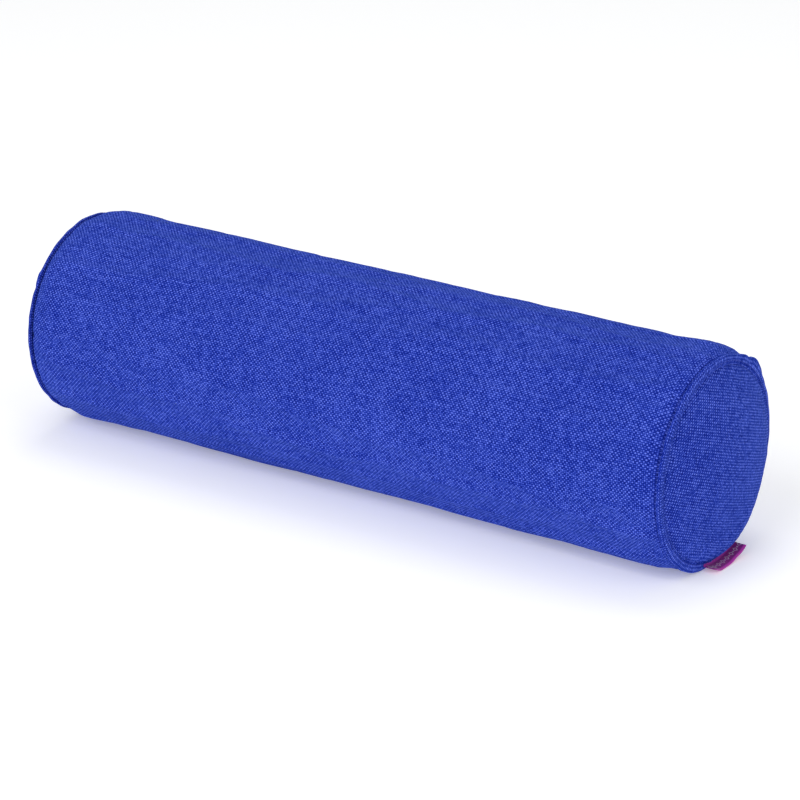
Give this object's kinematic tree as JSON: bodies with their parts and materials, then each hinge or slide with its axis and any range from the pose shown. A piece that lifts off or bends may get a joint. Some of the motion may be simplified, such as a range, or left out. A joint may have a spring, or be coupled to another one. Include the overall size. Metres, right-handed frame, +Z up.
{
  "type": "bolster pillow",
  "caption": "Firm round bolster pillow: husk-filled inner cushion in a removable blue canvas cover, with welted domed ends, a long zip along the back and a ribbon label in one end seam.",
  "frame": {"origin": "centre of the flat strip that the bolster rests on", "axes": "+X along the bolster towards the end with the side label, -Y to the front, +Y to the back where the zip is, +Z up"},
  "size_m": [0.556, 0.15, 0.1478],
  "materials": {
    "cover_canvas": "matte",
    "sewing_thread": "satin",
    "label_ribbon": "satin",
    "care_label_satin": "satin",
    "zip_tape": "matte",
    "zip_coil": "satin",
    "zip_stop": "satin",
    "zip_slider": "satin",
    "liner_calico": "matte",
    "liner_thread": "matte",
    "husk": "matte"
  },
  "bodies": {
    "bolster": {"cover_barrel": "cover_canvas", "cover_end_right": "cover_canvas", "cover_end_left": "cover_canvas", "edge_welt_right": "cover_canvas", "edge_welt_left": "cover_canvas", "welt_stitching_right": "sewing_thread", "welt_stitching_left": "sewing_thread", "side_label": "label_ribbon", "care_label": "care_label_satin", "zip_tape_upper": "zip_tape", "zip_tape_lower": "zip_tape", "zip_coil_upper": "zip_coil", "zip_coil_lower": "zip_coil", "zip_top_stops": "zip_stop", "zip_bottom_stop": "zip_stop", "zip_stitching": "sewing_thread", "liner_tube": "liner_calico", "liner_end_right": "liner_calico", "liner_end_left": "liner_calico", "liner_seam_stitching": "liner_thread", "husk_fill": "husk"},
    "slider": {"zip_slider": "zip_slider"},
    "pull_tab": {"zip_pull_tab": "zip_slider"}
  },
  "joints": [
    {"name": "zip_slide", "type": "slide", "parent": "bolster", "child": "slider", "axis": [-1, 0, 0], "range_m": [0, 0.38]},
    {"name": "pull_tab_hinge", "type": "hinge", "parent": "slider", "child": "pull_tab", "pos_m": [0.19, 0.07033, 0.1056], "axis": [0, 0.4226, -0.9063], "range_deg": [0, 180]}
  ]
}
